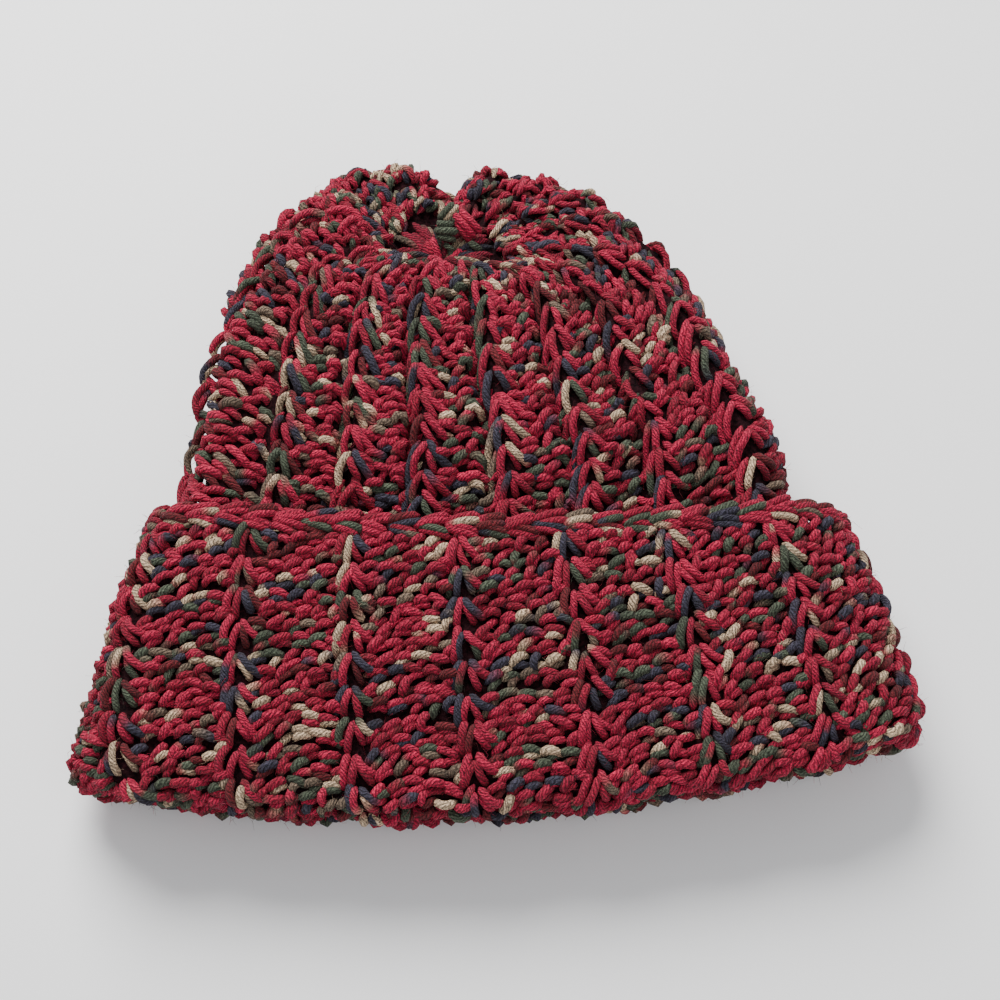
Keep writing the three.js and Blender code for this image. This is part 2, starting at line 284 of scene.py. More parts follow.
# The strands of one stitch, as they show on the face: from u0, v0 to u1, v1 in millimetres from the
# stitch's point, right and up, bowed sideways by bend. top and foot are the heights of the strand's two
# ends over the face and rise is how far it arches over them. girth is its share of a strand's radius,
# sway is how far its slant strays, ball is which of the two yarns it is, and yarn is where on it.
MOTIF_COLUMNS = ("u0", "v0", "u1", "v1", "bend", "top", "rise", "foot", "girth", "sway", "ball", "yarn")
crown_loops = [
    (-1.2, 1.4, -5.2, -10.2, -0.6, -1.0, 2.4, -2.6, 1.0, 0.05, 1, 2),
    (0.2, 0.2, -2.8, -10.0, -0.3, -0.5, 2.2, -2.2, 0.95, 0.06, 0, 0),
    (0.9, -1.0, 4.8, -8.0, -0.8, -0.8, 1.9, -2.4, 0.95, 0.08, 0, 13),
    (1.1, 1.3, 8.6, -5.4, -1.4, -1.0, 2.3, -1.8, 1.0, 0.06, 1, 15),
]
edge_loops = [
    (-2.8, 2.8, -4.8, -9.8, -0.5, 1.4, 1.8, 0.8, 1.0, 0.02, 1, 2),
    (-2.8, 0.6, -4.2, -10.6, -0.5, 0.2, 1.6, 0.0, 0.95, 0.02, 0, 0),
    (-3.4, 1.6, 3.0, -0.8, 0.8, 1.2, 2.0, -0.4, 0.95, 0.05, 0, 8),
    (-0.8, 0.8, -1.0, -8.8, -0.4, 0.6, 1.9, -0.2, 0.95, 0.03, 1, 22),
    (0.4, 0.6, 0.6, -8.6, -0.4, -0.4, 1.6, -1.2, 0.95, 0.03, 0, 24),
    (1.4, 0.0, 2.6, -7.8, -0.5, 0.4, 1.8, -1.2, 0.95, 0.04, 0, 13),
    (2.0, 1.0, 7.6, -5.4, -1.2, -0.4, 2.3, -1.8, 1.0, 0.05, 1, 15),
]
cuff_loops = [
    (-1.2, 1.4, -4.8, -9.4, -0.5, -0.9, 2.8, -2.6, 1.02, 0.05, 1, 2),
    (0.1, 0.2, -2.4, -9.2, -0.3, -0.4, 2.6, -2.2, 0.95, 0.06, 0, 0),
    (0.8, -0.9, 4.2, -7.8, -0.7, -0.6, 2.3, -2.4, 0.95, 0.08, 0, 13),
    (1.0, 1.3, 8.0, -5.4, -1.5, -0.9, 2.7, -2.0, 1.02, 0.06, 1, 15),
]
SECOND_STRAND = (0.6, -1.9)   # where the second strand of a post lies from the first
POST_LENGTH = 1.16            # a post's length, as a share of the step from post to post
POST_TILT = 1.1               # how much a post rises to each side of its middle
POST_ROWS = (0.12, 0.62)      # how far the rows lie below a stitch's point, as shares of its length

# The two strands of a post: bend, top, rise, foot, girth and sway, as in the table above.
FIRST_OF_POST = (0.6, -2.0, 3.4, -2.6, 1.1, 0.36)
SECOND_OF_POST = (0.5, -2.5, 3.2, -3.1, 1.0, 0.3)

# Where on the yarn the posts lie: the first one, and the steps to the next post, to the second row
# and to the post's second strand.
POST_YARN = 28
POST_YARN_STEP = 11
POST_YARN_ROW = 47
POST_YARN_SECOND = 19


def posts(first, last, across, pitch):
    """Two rows of short posts between one column of loops and the next, each of two strands side by side.

    first and last are how far the rows reach, and across is how many posts lie in a row.
    """
    step = (last - first) / (across + 0.5)
    right, up = SECOND_STRAND
    made = []
    for row, share in enumerate(POST_ROWS):
        for k in range(across):
            u = first + (k + 0.5 * row) * step
            v = -pitch * share
            end = u + step * POST_LENGTH
            ball = (k + row) % 2
            yarn = POST_YARN + POST_YARN_STEP * k + POST_YARN_ROW * row
            made.append((u, v - POST_TILT, end, v + POST_TILT, *FIRST_OF_POST, ball, yarn))
            start, low, yarn = u + right, v + up, yarn + POST_YARN_SECOND
            made.append((start, low - POST_TILT, end, low + POST_TILT, *SECOND_OF_POST, 1 - ball, yarn))
    return made


TURNED_SHARE = 0.5        # how far strands turn along the fabric where it is narrow
LEAST_SPREAD = 0.24       # posts are left out where there is less than this share of their room
LEAST_GIRTH = 0.76        # a strand's girth where there is no room at all
ROW_STRAY = 0.03          # how far a stitch strays along the fabric, in stitches
WAVE = 2.4                # radians of the rows' wave from rib to rib
STITCH_STRAY = 0.3        # how far a whole stitch strays, in millimetres
STRAND_STRAY = 0.5        # and how far the ends of one strand stray
GIRTH_STRAY = 0.05
SHADE_STRAY = 0.1
LAY_LENGTH = 50           # strands start anywhere on this length of twisted yarn
CROWN_PITCH = 10.4        # a stitch's length on the crown
CUFF_PITCH = 9.0
crown_columns = table(MOTIF_COLUMNS, crown_loops)
crown_edge_columns = table(MOTIF_COLUMNS, edge_loops)
crown_posts = table(MOTIF_COLUMNS, posts(2.4, 19.2, 3, CROWN_PITCH))
crown_edge_posts = table(MOTIF_COLUMNS, posts(-1.6, 19.2, 3, CROWN_PITCH))
cuff_columns = table(MOTIF_COLUMNS, cuff_loops)
cuff_posts = table(MOTIF_COLUMNS, posts(2.4, 32.4, 5, CUFF_PITCH))


def arch(t):
    """How high a strand stands along its length, from 0 at its ends to 1 in its middle."""
    return np.sin(np.pi * t) ** 0.8


def tapered(t):
    """A strand's girth along its length: thin at its ends, where it goes into the fabric."""
    return np.clip(2.4 * np.sin(np.pi * t) + 0.3, 0, 1)


def strand_paths(face, places, rows, motif, seed, points, design, spread=False, stagger=0.35):
    """Points, girths, colours and runs of the motif's strands, at each place round the face in each row.

    places are pairs: where a column stands, in ribs, and how many ribs it is to the next one. design is
    the width from column to column, in millimetres, that the motif is drawn for. Where there is less
    the strands are squeezed together, and with spread they reach out where there is more. stagger is how
    far the rows wave up and down from rib to rib, in stitches.
    """
    rng = np.random.default_rng(seed)
    stands = np.array([place for place, _ in places], float)
    column, row = np.meshgrid(stands, np.array(rows), indexing="ij")
    to_next = np.repeat(np.array([gap for _, gap in places], float), len(rows))
    rib, stitch = column.ravel(), row.ravel()
    stitch = stitch + rng.normal(0, ROW_STRAY, len(rib)) + stagger * np.sin(rib * WAVE)
    squeeze = face.read(face.widths, rib, stitch) * to_next / design
    if spread:
        kept = squeeze > LEAST_SPREAD
        rib, stitch, squeeze = rib[kept], stitch[kept], squeeze[kept]
    else:
        squeeze = np.minimum(squeeze, 1.0)
    n, m = len(rib), len(motif["u0"])
    t = np.linspace(0, 1, points)

    def shaken(name, size):
        return motif[name][None, :, None] + rng.normal(0, size, (n, m, 1))

    whole = rng.normal(0, STITCH_STRAY, (2, n, 1, 1))
    u0, u1 = shaken("u0", STRAND_STRAY) + whole[0], shaken("u1", STRAND_STRAY) + whole[0]
    v0, v1 = shaken("v0", STRAND_STRAY) + whole[1], shaken("v1", STRAND_STRAY) + whole[1]
    sway = rng.normal(0, 1, (n, m, 1)) * motif["sway"][None, :, None]
    room = squeeze[:, None, None]
    middle_u, middle_v = (u0 + u1) / 2 * room, (v0 + v1) / 2
    half_u, half_v = (u1 - u0) / 2, (v1 - v0) / 2
    lost = np.maximum(half_u**2 * (1 - room**2), 0)
    half_u = half_u * room
    half_v = np.where(half_v < 0, -1, 1) * np.sqrt(half_v**2 + TURNED_SHARE * lost)
    turned_u = half_u * np.cos(sway) - half_v * np.sin(sway)
    turned_v = half_u * np.sin(sway) + half_v * np.cos(sway)
    u0, u1, v0, v1 = middle_u - turned_u, middle_u + turned_u, middle_v - turned_v, middle_v + turned_v
    length = np.hypot(u1 - u0, v1 - v0)
    bow = np.sin(np.pi * t) * shaken("bend", 0.3)
    u = u0 + (u1 - u0) * t - (v1 - v0) / length * bow
    v = v0 + (v1 - v0) * t + (u1 - u0) / length * bow
    h = shaken("top", 0.3) * (1 - t) + shaken("foot", 0.4) * t + shaken("rise", 0.4) * arch(t)
    at = np.broadcast_to(rib[:, None, None], u.shape)
    along = np.broadcast_to(stitch[:, None, None], u.shape)
    laid = face.place(at, along, u, v, h)
    girth = tapered(t) * shaken("girth", GIRTH_STRAY)
    girth = girth * (LEAST_GIRTH + (1 - LEAST_GIRTH) * np.minimum(squeeze, 1)[:, None, None])
    run = np.arange(n)[:, None, None] * STITCH_YARN + motif["yarn"][None, :, None] + t * length
    ball = np.broadcast_to(motif["ball"][None, :, None, None], (*run.shape, 1))
    colour = np.where(ball == 0, yarns[0].colour(run), yarns[1].colour(run))
    colour = colour * rng.normal(1, SHADE_STRAY, (n, m, 1, 1))
    run = run + rng.uniform(0, LAY_LENGTH, (n, m, 1))

    def listed(values, *tail):
        return np.ascontiguousarray(values).reshape(n * m, points, *tail)

    return listed(laid, 3), listed(girth), listed(colour, 3), listed(run)


def rest_on_surface(points, girth, radius):
    """Lifts the points so that no strand goes below the surface that the hat lies on."""
    points[..., 2] = np.maximum(points[..., 2], girth * radius)


def placed(name, data):
    """An object with its data, put into the scene."""
    obj = bpy.data.objects.new(name, data)
    bpy.context.scene.collection.objects.link(obj)
    return obj


def fill(node, values):
    """Gives the named inputs of a node their values."""
    for name, value in values.items():
        node.inputs[name].default_value = value


def node_maker(tree):
    """A function that adds a node to a tree, with its settings and the values of its inputs."""

    def node(kind, values=None, **settings):
        made = tree.nodes.new(kind)
        for name, value in settings.items():
            setattr(made, name, value)
        fill(made, values or {})
        return made

    return node


def node_joiner(tree):
    """A function that leads an output of one node of a tree to an input of another."""

    def join(source, output, target, name):
        tree.links.new(source.outputs[output], target.inputs[name])

    return join


def add_sockets(tree, way, sockets):
    """Gives a tree of nodes its inputs or outputs: a name and a kind for each."""
    for name, kind in sockets.items():
        tree.interface.new_socket(name, in_out=way, socket_type="NodeSocket" + kind)


def yarn_tree():
    """The tree of nodes that lays a closed strand along each path of a mesh of edges."""
    tree = bpy.data.node_groups.new("strand along a path", "GeometryNodeTree")
    inputs = {"Paths": "Geometry", "Strand radius": "Float", "Sides": "Int", "Yarn": "Material"}
    add_sockets(tree, "INPUT", inputs)
    add_sockets(tree, "OUTPUT", {"Strands": "Geometry"})
    node, join = node_maker(tree), node_joiner(tree)
    given = node("NodeGroupInput")
    curve = node("GeometryNodeMeshToCurve")
    join(given, "Paths", curve, "Mesh")
    girth = node("GeometryNodeInputNamedAttribute", {"Name": "girth"}, data_type="FLOAT")
    thickness = node("ShaderNodeMath", operation="MULTIPLY")
    join(girth, "Attribute", thickness, 0)
    join(given, "Strand radius", thickness, 1)
    profile = node("GeometryNodeCurvePrimitiveCircle", {"Radius": 1.0}, mode="RADIUS")
    join(given, "Sides", profile, "Resolution")
    keep = node("GeometryNodeCaptureAttribute", domain="POINT")
    keep.capture_items.new("VECTOR", "Round")
    place = node("GeometryNodeInputPosition")
    join(profile, "Curve", keep, "Geometry")
    join(place, "Position", keep, "Round")
    tube = node("GeometryNodeCurveToMesh", {"Fill Caps": True})
    join(curve, "Curve", tube, "Curve")
    join(keep, "Geometry", tube, "Profile Curve")
    join(thickness, "Value", tube, "Scale")
    run = node("GeometryNodeInputNamedAttribute", {"Name": "run"}, data_type="FLOAT")
    apart = node("ShaderNodeSeparateXYZ")
    joined = node("ShaderNodeCombineXYZ")
    join(keep, "Round", apart, "Vector")
    join(apart, "X", joined, "X")
    join(apart, "Y", joined, "Y")
    join(run, "Attribute", joined, "Z")
    lay = node("GeometryNodeStoreNamedAttribute", data_type="FLOAT_VECTOR", domain="POINT")
    fill(lay, {"Name": "lay"})
    join(tube, "Mesh", lay, "Geometry")
    join(joined, "Vector", lay, "Value")
    smooth = node("GeometryNodeSetShadeSmooth")
    join(lay, "Geometry", smooth, "Geometry")
    real = node("GeometryNodeRealizeInstances")
    join(smooth, "Geometry", real, "Geometry")
    finish = node("GeometryNodeSetMaterial")
    join(real, "Geometry", finish, "Geometry")
    join(given, "Yarn", finish, "Material")
    result = node("NodeGroupOutput")
    join(finish, "Geometry", result, "Strands")
    return tree


strand_tree = yarn_tree()


def strands(name, paths, material, radius=YARN, sides=7):
    """A mesh object of one closed strand along each path, made by the tree and kept as a plain mesh."""
    points, girth, colour, run = paths
    count, steps = points.shape[:2]
    start = (np.arange(count)[:, None] * steps + np.arange(steps - 1)).ravel()
    edges = np.stack([start, start + 1], 1)
    mesh = bpy.data.meshes.new(name)
    mesh.from_pydata((points.reshape(-1, 3) * MM).tolist(), edges.tolist(), [])
    mesh.attributes.new("girth", "FLOAT", "POINT").data.foreach_set("value", girth.ravel())
    mesh.attributes.new("run", "FLOAT", "POINT").data.foreach_set("value", run.ravel())
    rgba = np.concatenate([colour, np.ones((*colour.shape[:2], 1))], 2)
    mesh.attributes.new("dye", "FLOAT_COLOR", "POINT").data.foreach_set("color", rgba.ravel())
    obj = placed(name, mesh)
    modifier = obj.modifiers.new("yarn", "NODES")
    modifier.node_group = strand_tree
    sockets = strand_tree.interface.items_tree
    given = {item.name: item.identifier for item in sockets if item.in_out == "INPUT"}
    modifier[given["Strand radius"]] = radius * MM
    modifier[given["Sides"]] = sides
    modifier[given["Yarn"]] = material
    depsgraph = bpy.context.evaluated_depsgraph_get()
    solid = bpy.data.meshes.new_from_object(obj.evaluated_get(depsgraph))
    obj.modifiers.remove(modifier)
    obj.data = solid
    bpy.data.meshes.remove(mesh)
    solid.name = name
    return obj


def volume(mesh):
    """The volume of a closed mesh, below zero where its faces look inward."""
    co = np.empty(len(mesh.vertices) * 3)
    mesh.vertices.foreach_get("co", co)
    mesh.calc_loop_triangles()
    tri = np.empty(len(mesh.loop_triangles) * 3, int)
    mesh.loop_triangles.foreach_get("vertices", tri)
    a, b, c = (co.reshape(-1, 3)[tri.reshape(-1, 3)[:, k]] for k in range(3))
    return float((a * np.cross(b, c)).sum() / 6)


def shell(name, outer, inner, material, cap=False):
    """The core of a band of fabric, between two grids of points whose first rings are joined; its material
    paints it dark as shade.

    The last rings are joined too, or with cap each of them is closed by a face of its own.
    """
    rings = np.concatenate([inner[::-1], outer]) if cap else np.concatenate([outer, inner[::-1]])
    count = rings.shape[1]
    points = rings.reshape(-1, 3)
    bands = len(rings) - 1 if cap else len(rings)
    i = np.arange(count)
    j = (i + 1) % count
    faces = []
    for r in range(bands):
        here, there = r * count, (r + 1) % len(rings) * count
        faces.append(np.stack([here + i, here + j, there + j, there + i], 1))
    faces = np.concatenate(faces).tolist()
    if cap:
        last = (len(rings) - 1) * count
        faces += [i[::-1].tolist(), (last + i).tolist()]
    mesh = bpy.data.meshes.new(name)
    mesh.from_pydata((points * MM).tolist(), [], faces)
    if volume(mesh) < 0:
        mesh.flip_normals()
    mesh.shade_smooth()
    mesh.materials.append(material)
    return placed(name, mesh)


# Sizes of the yarn's fine texture. Scales are per metre.
WANDER_SCALE = 420.0
WANDER_TURN = 13.0        # how far the plies wander, in radians
FLECK_SCALE = 1700.0
FIBRES_ROUND = 2.6        # how fine the fibres are round a strand and along it
FIBRES_ALONG = 0.9
PLY_RELIEF = 0.6
PLY_FULLNESS = 0.6        # under 1, a ply is broad and the groove beside it is narrow


def plied_group():
    """Plies twisted round each other along a strand, with fine fibres and flecks."""
    group = bpy.data.node_groups.new("plied yarn", "ShaderNodeTree")
    add_sockets(group, "INPUT", {"Plies": "Float", "Twist per mm": "Float", "Fibre size": "Float"})
    add_sockets(group, "OUTPUT", {"Relief": "Float", "Groove": "Float", "Fleck": "Float"})
    node = node_maker(group)
    link = group.links.new

    def maths(operation, *values):
        made = node("ShaderNodeMath", operation=operation)
        for socket, value in zip(made.inputs, values):
            if isinstance(value, float):
                socket.default_value = value
            else:
                link(value, socket)
        return made.outputs["Value"]

    given = node("NodeGroupInput")
    lay = node("ShaderNodeAttribute", attribute_name="lay", attribute_type="GEOMETRY")
    apart = node("ShaderNodeSeparateXYZ")
    link(lay.outputs["Vector"], apart.inputs["Vector"])
    angle = maths("ARCTAN2", apart.outputs["Y"], apart.outputs["X"])
    turns = maths("MULTIPLY", apart.outputs["Z"], given.outputs["Twist per mm"])
    place = node("ShaderNodeTexCoord")
    wander = node("ShaderNodeTexNoise", {"Scale": WANDER_SCALE, "Detail": 1.0})
    link(place.outputs["Object"], wander.inputs["Vector"])
    twisted = maths("ADD", angle, maths("DIVIDE", turns, given.outputs["Plies"]))
    round_turns = maths("MULTIPLY", twisted, given.outputs["Plies"])
    phase = maths("ADD", round_turns, maths("MULTIPLY", wander.outputs["Fac"], WANDER_TURN))
    wave = maths("MULTIPLY_ADD", maths("COSINE", phase), 0.5, 0.5)
    ply = maths("POWER", wave, PLY_FULLNESS)
    lengthwise = node("ShaderNodeCombineXYZ")
    link(maths("MULTIPLY", maths("COSINE", twisted), FIBRES_ROUND), lengthwise.inputs["X"])
    link(maths("MULTIPLY", maths("SINE", twisted), FIBRES_ROUND), lengthwise.inputs["Y"])
    link(maths("MULTIPLY", apart.outputs["Z"], FIBRES_ALONG), lengthwise.inputs["Z"])
    fibres = node("ShaderNodeTexNoise", {"Detail": 4.0, "Roughness": 0.7})
    link(lengthwise.outputs["Vector"], fibres.inputs["Vector"])
    link(given.outputs["Fibre size"], fibres.inputs["Scale"])
    flecks = node("ShaderNodeTexNoise", {"Scale": FLECK_SCALE, "Detail": 2.0})
    link(place.outputs["Object"], flecks.inputs["Vector"])
    rough = maths("ADD", fibres.outputs["Fac"], flecks.outputs["Fac"])
    relief = maths("ADD", maths("MULTIPLY", ply, PLY_RELIEF), rough)
    result = node("NodeGroupOutput")
    link(relief, result.inputs["Relief"])
    link(maths("SUBTRACT", 1.0, ply), result.inputs["Groove"])
    link(maths("MULTIPLY", rough, 0.5), result.inputs["Fleck"])
    return group


plied = plied_group()


def new_material(name, values):
    """A material, its shader with its inputs' values, and the functions that add and join its nodes."""
    material = bpy.data.materials.new(name)
    material.use_nodes = True
    tree = material.node_tree
    shader = tree.nodes["Principled BSDF"]
    fill(shader, values)
    return material, shader, node_maker(tree), node_joiner(tree)


def yarn_material(name):
    """Plied yarn, dyed along its length, with painted shade in the grooves between its plies and painted
    highlight on their tops.
    """
    material, shader, node, join = new_material(name, {
        "Roughness": 0.85,
        "Sheen Weight": 0.05,
        "Sheen Roughness": 0.45,
        "Sheen Tint": (1.0, 0.72, 0.72, 1.0),
        "Specular IOR Level": 0.22,
    })
    plies = {"Plies": 6.0, "Twist per mm": 5.7, "Fibre size": 1.3}
    yarn = node("ShaderNodeGroup", plies, node_tree=plied)
    dye = node("ShaderNodeAttribute", attribute_name="dye")
    # Painted shade and highlight: the dye is darkened to 0.42 of itself in the grooves between plies and
    # lightened to 1.32 of itself on the plies' tops.
    painted_ply_shade_and_highlight_range = {"From Min": 0.0, "From Max": 1.0, "To Min": 1.32, "To Max": 0.42}
    painted_ply_shade_and_highlight = node("ShaderNodeMapRange", painted_ply_shade_and_highlight_range)
    join(yarn, "Groove", painted_ply_shade_and_highlight, "Value")
    flecks = {"From Min": 0.38, "From Max": 0.62, "To Min": 0.32, "To Max": 1.7}
    fleck = node("ShaderNodeMapRange", flecks)
    join(yarn, "Fleck", fleck, "Value")
    # The painted ply shade and highlight, times the flecks' random tone.
    painted_ply_light_and_fleck = node("ShaderNodeMath", operation="MULTIPLY")
    join(painted_ply_shade_and_highlight, "Result", painted_ply_light_and_fleck, 0)
    join(fleck, "Result", painted_ply_light_and_fleck, 1)
    colour = node("ShaderNodeVectorMath", operation="SCALE")
    join(dye, "Color", colour, 0)
    join(painted_ply_light_and_fleck, "Value", colour, "Scale")
    join(colour, "Vector", shader, "Base Color")
    relief = node("ShaderNodeBump", {"Strength": 0.9, "Distance": 0.0009})
    join(yarn, "Relief", relief, "Height")
    join(relief, "Normal", shader, "Normal")
    return material


def painted_shade_core_material():
    """Painted shade: the inside of the fabric, coloured near black where it is seen between the strands."""
    dull = {"Roughness": 0.95, "Specular IOR Level": 0.1}
    material, shader, node, join = new_material("core painted dark as shade", dull)
    place = node("ShaderNodeTexCoord")
    noise = node("ShaderNodeTexNoise", {"Scale": 900.0, "Detail": 4.0})
    join(place, "Object", noise, "Vector")
    # Near-black colours: painted shade for the deep gaps between strands.
    ramp = node("ShaderNodeValToRGB")
    dark, pale = ramp.color_ramp.elements
    dark.position, dark.color = 0.35, (0.004, 0.0015, 0.002, 1)
    pale.position, pale.color = 0.7, (0.030, 0.007, 0.010, 1)
    join(noise, "Fac", ramp, "Fac")
    join(ramp, "Color", shader, "Base Color")
    relief = node("ShaderNodeBump", {"Strength": 0.8, "Distance": 0.001})
    join(noise, "Fac", relief, "Height")
    join(relief, "Normal", shader, "Normal")
    return material


# The slot of each solid, which its yarn is named after.
SLOTS = {
    "crown": "crown_yarn",
    "cuff": "cuff_yarn",
    "cuff_edging": "edging_yarn",
    "gather_knot": "knot_yarn",
}
yarn_looks = {node: yarn_material(slot.replace("_", " ")) for node, slot in SLOTS.items()}
core = painted_shade_core_material()

# Faces of the fabric and of the core inside it, whose near-black colour is painted shade. Depths are from
# the middle of the sheet.
FACE_DEPTH = SHEET / 2 - YARN
CORE_OUT = 0.2            # how far out the outer side of the core stands
CORE_IN = 1.4             # and how far in its inner side lies
CORE_FLOOR = 1.2          # least heights over the surface that the hat lies on
CROWN_CORE_FLOOR = 3.4
INSIDE_FLOOR = SHEET * 0.75
crown_face = Face(crown_sections, FACE_DEPTH, 1, 1, CROWN_PITCH, 0, rim_folds)
crown_core_out = Face(crown_sections, CORE_OUT, 1, 1, CROWN_PITCH, CORE_FLOOR, rim_folds)
crown_core_in = Face(crown_sections, -CORE_IN, 1, 1, CROWN_PITCH, CROWN_CORE_FLOOR, rim_folds)
crown_inside = Face(crown_sections, -FACE_DEPTH, -1, -1, CROWN_PITCH, INSIDE_FLOOR, rim_folds)
cuff_face = Face(cuff_sections, -FACE_DEPTH, -1, -1, CUFF_PITCH, 0)
cuff_core_out = Face(cuff_sections, -CORE_OUT, 1, 1, CUFF_PITCH, CORE_FLOOR)
cuff_core_in = Face(cuff_sections, CORE_IN, 1, 1, CUFF_PITCH, CORE_FLOOR)


# The plait along the cuff's edge: strands of one link, in millimetres along the edge (a), away from the
# cuff (b) and out of its face (c).
PLAIT_PITCH = 8.8
LINK_YARN = 40            # yarn in one link, and in one strand of it
LINK_LENGTH = 11
PLAIT_START = 20000       # where on the yarn the plait starts
plait_links = table(("a0", "b0", "c0", "a1", "b1", "c1", "lift", "girth", "ball", "yarn"), [
    (0.0, 4.0, -0.6, 11.4, 6.6, 0.6, 2.4, 1.0, 0, 0),
    (0.6, 2.4, 0.2, 11.8, 4.8, 0.8, 2.6, 0.95, 1, 2),
    (0.2, 3.6, -0.2, 11.2, 0.8, 0.6, 2.6, 0.95, 0, 14),
    (0.8, 2.0, -0.2, 10.6, -0.8, 0.2, 2.2, 0.95, 1, 16),
    (1.0, 5.6, -2.6, 10.6, 4.6, -2.6, -1.0, 1.0, 1, 26),
    (4.6, 3.2, -2.6, 14.0, 2.2, -2.6, -1.0, 1.0, 0, 30),
])


def plait_paths(face, seed, points=9):
    """The strands of the plait along the first edge of a face."""
    rng = np.random.default_rng(seed)
    edge, normal = face.points[0], face.out[0]
    away = unit(face.points[0] - face.points[PER_STITCH // 2])
    loop = np.concatenate([edge, edge[:1]])
    steps = np.concatenate([[0], np.cumsum(np.linalg.norm(np.diff(loop, axis=0), axis=1))])
    links = round(steps[-1] / PLAIT_PITCH)
    pitch = steps[-1] / links
    n, m = links, len(plait_links["a0"])
    t = np.linspace(0, 1, points)

    def between(first, last, size):
        start = plait_links[first][None, :, None] + rng.normal(0, size, (n, m, 1))
        stop = plait_links[last][None, :, None] + rng.normal(0, size, (n, m, 1))
        return start + (stop - start) * t

    a = between("a0", "a1", 0.6) + np.arange(n)[:, None, None] * pitch
    b = between("b0", "b1", 0.3)
    c = between("c0", "c1", 0.3) + plait_links["lift"][None, :, None] * (arch(t) - 0.5)

    def along(values):
        closed = np.concatenate([values, values[:1]])
        return np.stack([np.interp(a % steps[-1], steps, closed[:, k]) for k in range(3)], -1)

    places = along(edge) + along(away) * b[..., None] + along(normal) * c[..., None]
    girth = tapered(t) * plait_links["girth"][None, :, None]
    girth = girth * rng.normal(1, GIRTH_STRAY, (n, m, 1))
    run = np.arange(n)[:, None, None] * LINK_YARN + plait_links["yarn"][None, :, None]
    run = run + t * LINK_LENGTH + PLAIT_START
    ball = np.broadcast_to(plait_links["ball"][None, :, None, None], (*run.shape, 1))
    colour = np.where(ball == 0, yarns[0].colour(run), yarns[1].colour(run))
    run = run + rng.uniform(0, LAY_LENGTH, (n, m, 1))
    shape = (n * m, points)
    return places.reshape(*shape, 3), girth.reshape(shape), colour.reshape(*shape, 3), run.reshape(shape)


STRAY_FIBRES = 10000
SHORTEST_FIBRE = 1.6
LONGEST_FIBRE = 4.8
FIBRE_CURL = 0.35         # how far a fibre bends, as a share of its length
FIBRE_GIRTH = np.array([1, 0.9, 0.4])
FIBRE_PALER = 1.35        # how much paler it is than its strand


def stray_fibres(groups, count, seed):
    """Short loose fibres standing off the strands."""
    rng = np.random.default_rng(seed)
    points = np.concatenate([g[0][:, 2:-2].reshape(-1, 3) for g in groups])
    colours = np.concatenate([g[2][:, 2:-2].reshape(-1, 3) for g in groups])
    pick = rng.choice(len(points), count, replace=True)
    start = points[pick]
    heading = unit(rng.normal(0, 1, (count, 3)) * (1, 1, 0.7))
    curl = unit(np.cross(heading, rng.normal(0, 1, (count, 3))))
    length = rng.uniform(SHORTEST_FIBRE, LONGEST_FIBRE, (count, 1, 1))
    steps = len(FIBRE_GIRTH)
    t = np.linspace(0, 1, steps)[None, :, None]
    bend = np.sin(t * np.pi * rng.uniform(0.6, 1.4, (count, 1, 1)))
    path = start[:, None] + heading[:, None] * length * t + curl[:, None] * length * FIBRE_CURL * bend
    girth = np.tile(FIBRE_GIRTH, (count, 1))
    colour = np.tile(np.minimum(colours[pick] * FIBRE_PALER + 0.01, 1)[:, None], (1, steps, 1))
    return path, girth, colour, np.zeros((count, steps))


EDGE_INSET = 0.042        # share by which the core is drawn in under the open loops of the left edge
EDGE_ROWS = (0.3, 0.8)    # and where along the crown, as shares of its length


def thinned(points):
    """Every second line of a grid along the fabric and every third round it."""
    return points[::2, ::3]


def drawn_in(points):
    """A crown grid with its left half drawn in a little, so that light comes through the edge's loops."""
    grid = thinned(points).copy()
    share = np.linspace(0, 1, len(grid))[:, None]
    inset = EDGE_INSET * bump((share - sum(EDGE_ROWS) / 2) / (EDGE_ROWS[1] - EDGE_ROWS[0]))
    middle = grid[..., 0].mean(1, keepdims=True)
    left = grid[..., 0] < middle
    grid[..., 0] = np.where(left, middle + (grid[..., 0] - middle) * (1 - inset), grid[..., 0])
    return grid


pieces = []


def add(piece, node):
    """Puts a piece on the hat's body, in place of a solid."""
    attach(piece, "root")
    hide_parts(node)
    pieces.append(piece)


crown_shell = drawn_in(crown_core_out.points), drawn_in(crown_core_in.points)
crown_core = shell("crown_core", *crown_shell, core, cap=True)
add(crown_core, "crown")
cuff_core = shell("cuff_core", thinned(cuff_core_out.points), thinned(cuff_core_in.points), core)
add(cuff_core, "cuff")

FIRST_SHOWN = 5.6         # the crown's stitches below this one lie hidden under the cuff
INSIDE_SHOWN = 5.0        # and inside the brim they are seen up to this one
EDGE_COLUMN = -0.2        # the crown's column that stands on its left edge
UNDER_COLUMN = 14.85      # and the one just under it
CROWN_DESIGN = 22.0       # widths from column to column that the stitches are drawn for
CUFF_DESIGN = 35.0
BRIM_DESIGN = 33.0
CUFF_STAGGER = 0.12
crown_upper = [(EDGE_COLUMN, 1 - EDGE_COLUMN)] + [(k, 1) for k in range(1, 8)]
crown_lower = [(k, 1) for k in range(8, 14)]
crown_lower += [(14, UNDER_COLUMN - 14), (UNDER_COLUMN, RIBS + EDGE_COLUMN - UNDER_COLUMN)]
cuff_upper = [(k + 0.5, 1) for k in range(8)]
cuff_lower = [(k + 0.5, 1) for k in range(8, 16)]
crown_rows = np.arange(FIRST_SHOWN, crown_face.stitches - 0.4, 1.0)
cuff_rows = np.arange(0.1, cuff_face.stitches, 1.0)
inside_rows = np.arange(0.5, INSIDE_SHOWN, 1.0)


